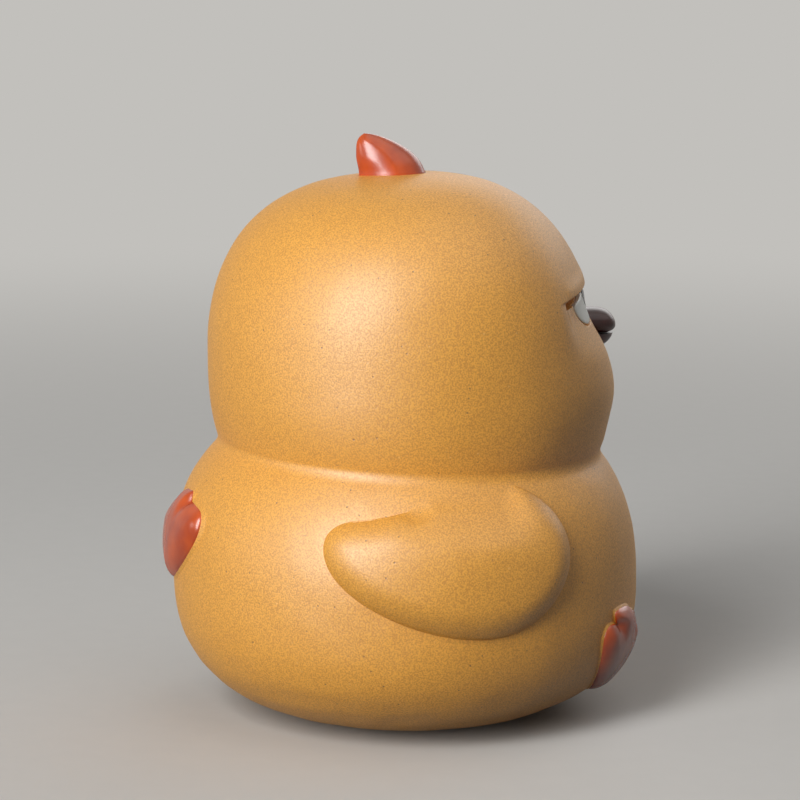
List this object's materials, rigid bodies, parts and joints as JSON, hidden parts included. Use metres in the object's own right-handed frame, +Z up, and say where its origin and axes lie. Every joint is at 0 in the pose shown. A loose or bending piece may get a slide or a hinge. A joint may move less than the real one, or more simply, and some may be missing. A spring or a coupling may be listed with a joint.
{
  "type": "tea pet",
  "caption": "Seated chick tea pet in ochre stoneware, with relief wings, a red comb, tail and feet, inlaid eyes and a dark beak, standing on a flat base.",
  "frame": {"origin": "centre of the flat base, on the surface that the chick stands on", "axes": "+Z up, -Y the way the chick faces, +X to the chick's left"},
  "size_m": [0.0576, 0.0524, 0.0638],
  "materials": {
    "clay": "unglazed, satin matt, fine grain",
    "red_glaze": "gloss",
    "beak_glaze": "gloss",
    "eye_white": "satin",
    "pupil_black": "satin"
  },
  "bodies": {
    "root": {"body_left_half": "clay", "body_right_half": "clay", "base_disc": "clay", "wing_left": "clay", "wing_right": "clay", "tail": "clay", "tail_glaze": "red_glaze", "foot_left": "clay", "foot_left_glaze": "red_glaze", "foot_right": "clay", "foot_right_glaze": "red_glaze", "head_left_half": "clay", "head_right_half": "clay", "comb": "red_glaze", "beak_upper": "beak_glaze", "beak_lower": "beak_glaze", "eye_left": "eye_white", "pupil_left": "pupil_black", "eye_right": "eye_white", "pupil_right": "pupil_black"}
  },
  "joints": []
}
